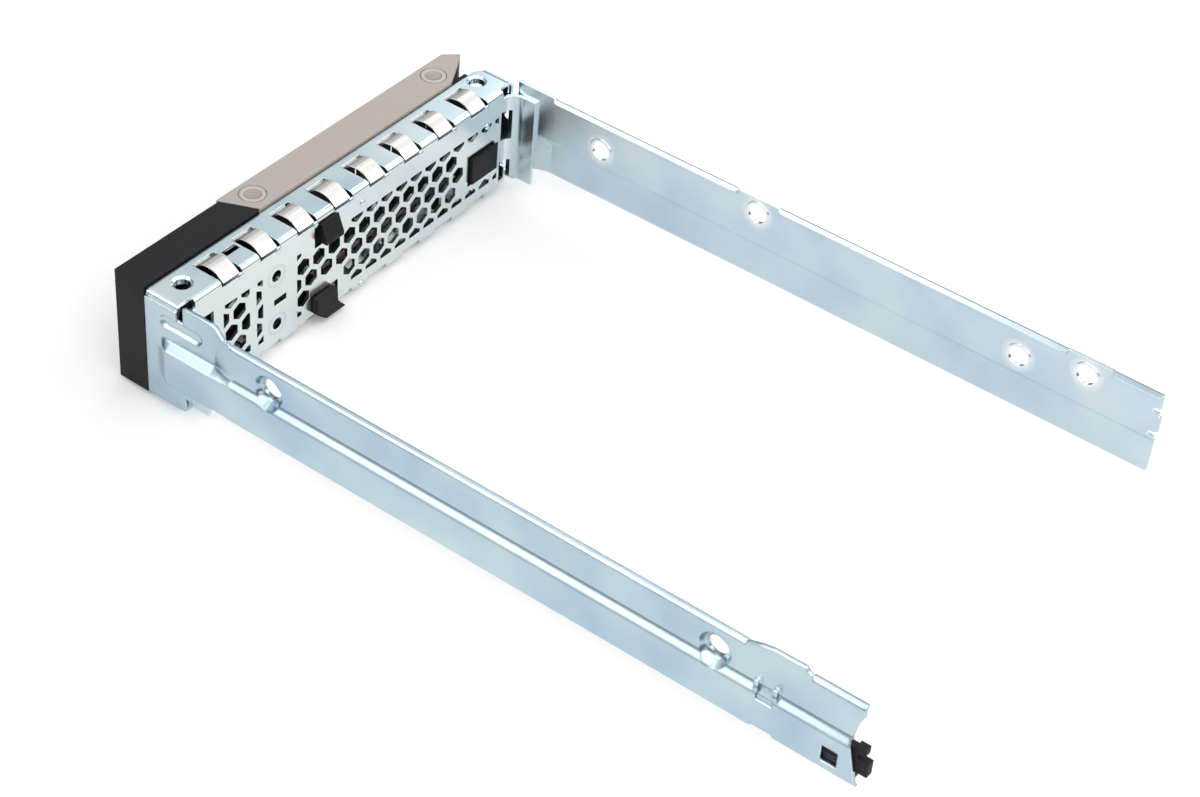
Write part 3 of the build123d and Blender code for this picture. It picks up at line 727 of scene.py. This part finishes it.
# A strip bent along a line and repeated along x
def stripTree():
    tree, given = newTree("bentFingers", {
        "Count": "Int", "Pitch": "Float", "Width": "Float", "Thickness": "Float", "Bend": "Float",
        "Finish": "Material",
    })
    line = addNode(tree, "GeometryNodeMeshToCurve", links={0: given["Geometry"]}).outputs[0]
    settings = {"mode": "POLY", "Count": fingers["bendSteps"], "Limit Radius": True}
    bent = addNode(tree, "GeometryNodeFilletCurve", settings, {0: line, "Radius": given["Bend"]}).outputs[0]
    upright = addNode(tree, "GeometryNodeSetCurveNormal", {"mode": "Z_UP"}, {0: bent}).outputs[0]
    section = addNode(tree, "GeometryNodeCurvePrimitiveQuadrilateral", links={
        "Width": given["Width"], "Height": given["Thickness"],
    }).outputs[0]
    swept = addNode(tree, "GeometryNodeCurveToMesh", {"Fill Caps": True}, {0: upright, 1: section}).outputs[0]
    step = addNode(tree, "ShaderNodeCombineXYZ", links={0: given["Pitch"]}).outputs[0]
    row = addNode(tree, "GeometryNodeMeshLine", {"mode": "OFFSET"}, {
        "Count": given["Count"], "Offset": step,
    }).outputs[0]
    repeated = addNode(tree, "GeometryNodeInstanceOnPoints", links={"Points": row, "Instance": swept})
    endTree(tree, repeated.outputs[0], given["Finish"])
    return tree


def springStrip(name, node, tree, up):
    low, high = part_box(node)
    plate = high.z - fingers["proud"] * mm if up > 0 else low.z + fingers["proud"] * mm
    half = fingers["thickness"] / 2

    def spot(y, drop):  # a point of the finger's middle line, drop millimetres inside the plate's face
        return Vector((at(fingers["first"], 0, 0).x, at(0, y, 0).y, plate - up * drop * mm))

    line = [
        *(spot(y, fingers["sheet"] + half) for y in fingers["band"]),
        *(spot(*place) for place in fingers["arch"]),
    ]
    strip = runTree(skeleton(name, line), tree, {
        "Count": fingers["count"],
        "Pitch": fingers["pitch"] * mm,
        "Width": fingers["width"] * mm,
        "Thickness": fingers["thickness"] * mm,
        "Bend": fingers["bend"] * mm,
        "Finish": stainlessFinish,
    })
    smoothFaces(strip)
    softenEdges(strip, fingers["round"])
    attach(strip, "carrier")
    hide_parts(node)


fingerTree = stripTree()
springStrip("topFingers", "top_spring_strip", fingerTree, 1)
springStrip("bottomFingers", "bottom_spring_strip", fingerTree, -1)


# Both springs stand where the solids of the same name are: the latch spring lies along x, and the
# lever spring stands round the pivot pin with one leg, which runs forward and then along the lever.
coils = {"radius": 0.2, "latchTurns": 6.0, "leverTurns": 4.0, "turnSteps": 28, "wireSides": 12}


# A wire swept along a helix that the tree makes, with straight legs given as edges
def coilTree():
    tree, given = newTree("woundWire", {
        "Turns": "Float", "Radius": "Float", "Height": "Float", "Wire": "Float", "Place": "Vector",
        "Turn": "Rotation", "Finish": "Material",
    })
    helix = addNode(tree, "GeometryNodeCurveSpiral", {"Resolution": coils["turnSteps"]}, {
        "Rotations": given["Turns"], "Start Radius": given["Radius"], "End Radius": given["Radius"],
        "Height": given["Height"],
    }).outputs[0]
    placed = addNode(tree, "GeometryNodeTransform", links={
        0: helix, "Translation": given["Place"], "Rotation": given["Turn"],
    }).outputs[0]
    legs = addNode(tree, "GeometryNodeMeshToCurve", links={0: given["Geometry"]}).outputs[0]
    wires = addNode(tree, "GeometryNodeJoinGeometry")
    for part in (legs, placed):
        tree.links.new(part, wires.inputs[0])
    settings = {"Resolution": coils["wireSides"]}
    section = addNode(tree, "GeometryNodeCurvePrimitiveCircle", settings, {"Radius": given["Wire"]})
    swept = addNode(tree, "GeometryNodeCurveToMesh", {"Fill Caps": True}, {
        0: wires.outputs[0], 1: section.outputs[0],
    }).outputs[0]
    endTree(tree, swept, given["Finish"])
    return tree


def coilSpring(name, node, tree, legs, values, turn):
    spring = runTree(skeleton(name, legs, len(legs) > 2), tree, {
        **values, "Wire": coils["radius"] * mm, "Turn": turn, "Finish": wireFinish,
    })
    smoothFaces(spring)
    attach(spring, "carrier")
    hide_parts(node)
    return spring


def latchSpring(tree):
    low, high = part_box("latch_spring")
    middle = (low + high) / 2
    values = {
        "Turns": coils["latchTurns"],
        "Radius": (high.z - low.z) / 2 - coils["radius"] * mm,
        "Height": high.x - low.x - 2 * coils["radius"] * mm,
        "Place": (low.x + coils["radius"] * mm, middle.y, middle.z),
    }
    noLegs = [middle, middle]   # two points that nothing joins make no wire
    spring = coilSpring("latchCoil", "latch_spring", tree, noLegs, values, (0, radians(90), 0))
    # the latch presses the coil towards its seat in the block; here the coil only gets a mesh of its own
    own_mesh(spring)


def leverSpring(tree):
    low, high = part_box("lever_spring")
    pinLow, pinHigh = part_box("pivot_pin")
    centre = (pinLow + pinHigh) / 2
    radius = centre.x - low.x - coils["radius"] * mm
    start = Vector((centre.x + radius, centre.y, low.z + coils["radius"] * mm))
    front = low.y + coils["radius"] * mm
    legs = [Vector((high.x, front, start.z)), Vector((start.x, front, start.z)), start]
    values = {
        "Turns": coils["leverTurns"],
        "Radius": radius,
        "Height": high.z - coils["radius"] * mm - start.z,
        "Place": (centre.x, centre.y, start.z),
    }
    coilSpring("leverCoil", "lever_spring", tree, legs, values, (0, 0, 0))


wireTree = coilTree()
latchSpring(wireTree)
leverSpring(wireTree)
print("springs made")


# Pips that the punch leaves on the wall's rear face, each a small dome: one beside each finger and a
# few that stand alone
pips = {
    "wall": -23.34,
    "radius": 0.75,
    "height": 0.4,
    "around": 16,
    "rings": 8,
    "free": ((-42.0, -0.3), (-1.3, -18.5), (-1.4, 2.2)),    # x and z
    "aside": -2.3,      # from a finger's middle line
    "level": 4.7,
}


def pipTree():
    tree, given = newTree("punchedPips", {"Radius": "Float", "Height": "Float", "Finish": "Material"})
    settings = {"Segments": pips["around"], "Rings": pips["rings"]}
    ball = addNode(tree, "GeometryNodeMeshUVSphere", settings, {"Radius": given["Radius"]})
    rise = addNode(tree, "ShaderNodeMath", {"operation": "DIVIDE"}, {0: given["Height"], 1: given["Radius"]})
    size = addNode(tree, "ShaderNodeCombineXYZ", {"X": 1.0, "Z": 1.0}, {"Y": rise.outputs[0]}).outputs[0]
    domes = addNode(tree, "GeometryNodeInstanceOnPoints", links={
        "Points": given["Geometry"], "Instance": ball.outputs[0], "Scale": size,
    }).outputs[0]
    endTree(tree, domes, given["Finish"])
    return tree


def wallPips():
    beside = [fingers["first"] + k * fingers["pitch"] + pips["aside"] for k in range(fingers["count"])]
    places = (*pips["free"], *((x, pips["level"]) for x in beside))
    spots = [at(x, pips["wall"], z) for x, z in places]
    domes = runTree(skeleton("wallPips", spots, False), pipTree(), {
        "Radius": pips["radius"] * mm, "Height": pips["height"] * mm, "Finish": zincFinish,
    })
    smoothFaces(domes)
    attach(domes, "carrier")


wallPips()

# Floor and light. Bright metal sees a white table that ends a hand's width off, a dim room at the
# height of the horizon and soft boxes above.
studio = {
    "floor": "#d9d9db",         # what the part sees of the floor as it lights it
    "floorSeen": "#ffffff",     # what the camera sees
    "glow": 0.15,               # added to the floor for the camera
    "tableEnd": (0.1, 0.22),    # m from the middle: bright metal sees the floor dim between these
    "tableStretch": (1, 0.6, 1),
    "tableShades": ("#f8fbfc", "#333c42"),
    "floorSize": 6.0,
    "sky": "#ffffff",
    "skyLight": 0.38,
    "skySeen": 1.0,
    "skyShades": ((0.5, "#2b3439"), (0.57, "#59656c"), (0.7, "#c3ccd1"), (0.83, "#e6ebed")),
    "lamps": (
        # name, place, aim, size and radiance of each soft box
        ("overhead", (0.15, 0.25, 1.1), (0, 0, 0), 1.42, 0.9),
        ("rearFill", (0.5, 0.9, 0.7), (0, 0, 0.01), 0.7, 1.6),
        ("slopeBox", (1.05, -0.47, 0.44), (0, 0, 0), 0.55, 2.2),
        ("foldBox", (-0.75, 0.62, 0.66), (0, 0, 0), 0.8, 1.9),
        ("edgeBox", (0.8, -0.49, 0.78), (0, 0, 0), 0.5, 1.8),
        ("ledgeBox", (-0.43, -0.23, 0.42), (-0.05, 0.01, 0), 0.22, 1.5),
    ),
}


def rayKind(tree, *kinds):  # 1 for rays of these kinds
    path = addNode(tree, "ShaderNodeLightPath").outputs
    return largest(tree, [path[kind] for kind in kinds])


def makeFloor():
    bpy.ops.mesh.primitive_plane_add(size=studio["floorSize"], location=(0, 0, cadBox[0].z))
    floor = bpy.context.object
    floor.name = "floor"
    material, tree, shader = newMaterial("paleFloor")
    away = radiusFrom(tree, (0, 0, 0), studio["tableStretch"])
    table = mixColours(tree, spread(tree, away, 0.0, 1.0, *studio["tableEnd"]), *studio["tableShades"])
    seen = rayKind(tree, "Is Camera Ray", "Is Transmission Ray")
    tint = mixColours(tree, rayKind(tree, "Is Glossy Ray"), studio["floor"], table)
    setShader(tree, shader, {"Roughness": 1.0, "Specular IOR Level": 0.0, "Emission Color": (1, 1, 1, 1)}, {
        "Base Color": mixColours(tree, seen, tint, studio["floorSeen"]),
        "Emission Strength": spread(tree, seen, 0.0, studio["glow"]),
    })
    floor.data.materials.append(material)


def makeSky():
    world = bpy.data.worlds.new("softSky")
    bpy.context.scene.world = world
    world.use_nodes = True
    tree = world.node_tree
    toward = addNode(tree, "ShaderNodeTexCoord").outputs["Generated"]
    height = addNode(tree, "ShaderNodeSeparateXYZ", links={0: toward}).outputs["Z"]
    shade = ramp(tree, spread(tree, height, 0.0, 1.0, -1.0, 1.0), studio["skyShades"])
    seen = rayKind(tree, "Is Camera Ray", "Is Glossy Ray", "Is Transmission Ray")
    setShader(tree, tree.nodes["Background"], {}, {
        "Color": mixColours(tree, rayKind(tree, "Is Glossy Ray"), studio["sky"], shade),
        "Strength": spread(tree, seen, studio["skyLight"], studio["skySeen"]),
    })


def makeLamps():
    for name, place, aim, size, radiance in studio["lamps"]:
        data = bpy.data.lights.new(name, "AREA")
        data.shape = "SQUARE"
        data.size = size
        data.energy = radiance * pi * size ** 2
        inScene(name, data).matrix_world = looking(place, aim)


# Camera: a long lens from behind and above the light pipe rail
view = {
    "place": (0.337216, 0.214236, 0.352108),
    "aim": (0.0024075, -0.0054024, 0.010),
    "roll": 5.26427,    # degrees
    "lens": 81.485,
    "sensor": 36.0,
    "nearest": 0.01,    # m
}


def makeCamera():
    data = bpy.data.cameras.new("camera")
    data.lens = view["lens"]
    data.sensor_width = view["sensor"]
    data.clip_start = view["nearest"]
    camera = inScene("camera", data)
    camera.matrix_world = looking(view["place"], view["aim"], view["roll"])
    bpy.context.scene.camera = camera


makeFloor()
makeSky()
makeLamps()
makeCamera()
bpy.context.scene.view_settings.view_transform = "Standard"
print("floor, light and camera made")
